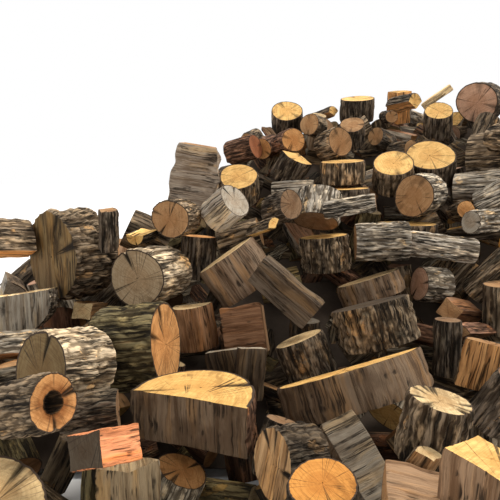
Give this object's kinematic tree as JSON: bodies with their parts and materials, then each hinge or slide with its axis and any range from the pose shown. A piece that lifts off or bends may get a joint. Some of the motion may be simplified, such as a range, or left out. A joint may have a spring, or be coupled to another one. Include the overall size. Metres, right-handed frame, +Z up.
{
  "type": "heap of logs",
  "caption": "Heap of sawn firewood rounds, split halves, wedges and blocks tipped in a low front hill and taller hills behind it.",
  "frame": {"origin": "on the ground, under the middle of the heap, on the level underside of the core", "axes": "+Z is up, -Y is the side the viewer sees and +X is to the viewer's right"},
  "size_m": [6.5615, 6.5442, 2.4386],
  "materials": {
    "bark_wood": "rough brown bark with sawn ends",
    "fresh_wood": "freshly sawn, dry and matt",
    "weathered_wood": "weathered grey, dry and matt",
    "inner_wood": "dark wood in the shade, matt"
  },
  "bodies": {
    "root": {"back_bright_wedge": "fresh_wood", "back_crest_pieces": "bark_wood", "back_disc": "bark_wood", "back_left_rounds": "bark_wood", "back_right_dark_round": "bark_wood", "back_small_rounds": "bark_wood", "back_top_round": "fresh_wood", "big_corner_block": "fresh_wood", "big_dark_round": "bark_wood", "big_half_round": "fresh_wood", "bright_split_wedge": "fresh_wood", "broad_back_round": "fresh_wood", "core": "inner_wood", "cracked_block": "bark_wood", "cream_toe_round": "fresh_wood", "crest_rounds": "bark_wood", "crossing_logs": "weathered_wood", "curved_grey_slab": "weathered_wood", "faced_round": "bark_wood", "gap_planks": "bark_wood", "grained_weathered_log": "weathered_wood", "hidden_crest_rounds": "bark_wood", "hollow_round": "bark_wood", "leaning_dark_slab": "bark_wood", "left_crest_pieces": "bark_wood", "left_edge_billets": "bark_wood", "left_grey_half": "weathered_wood", "lens_face_round": "bark_wood", "long_bark_piece": "bark_wood", "middle_disc": "bark_wood", "middle_face_round": "bark_wood", "mottled_bark_round": "bark_wood", "mottled_logs": "bark_wood", "outer_pieces_1": "bark_wood", "outer_pieces_2": "bark_wood", "outer_pieces_3": "bark_wood", "reddish_bark_half": "bark_wood", "ridged_bark_round": "bark_wood", "ridged_orange_round": "bark_wood", "right_edge_logs": "bark_wood", "right_lens_log": "bark_wood", "right_split_half": "bark_wood", "slice_low": "bark_wood", "slice_middle": "bark_wood", "slice_top": "bark_wood", "small_dark_half": "bark_wood", "small_ridged_log": "bark_wood", "split_block": "bark_wood", "standing_round": "fresh_wood", "tall_bark_round": "bark_wood", "tall_grey_slab": "weathered_wood", "tilted_thick_round": "bark_wood", "tipped_round": "bark_wood", "toe_pieces": "bark_wood", "toe_rounds": "bark_wood", "under_layer_1": "bark_wood", "under_layer_2": "bark_wood", "under_layer_3": "bark_wood", "wide_half_slice": "bark_wood"}
  },
  "joints": []
}
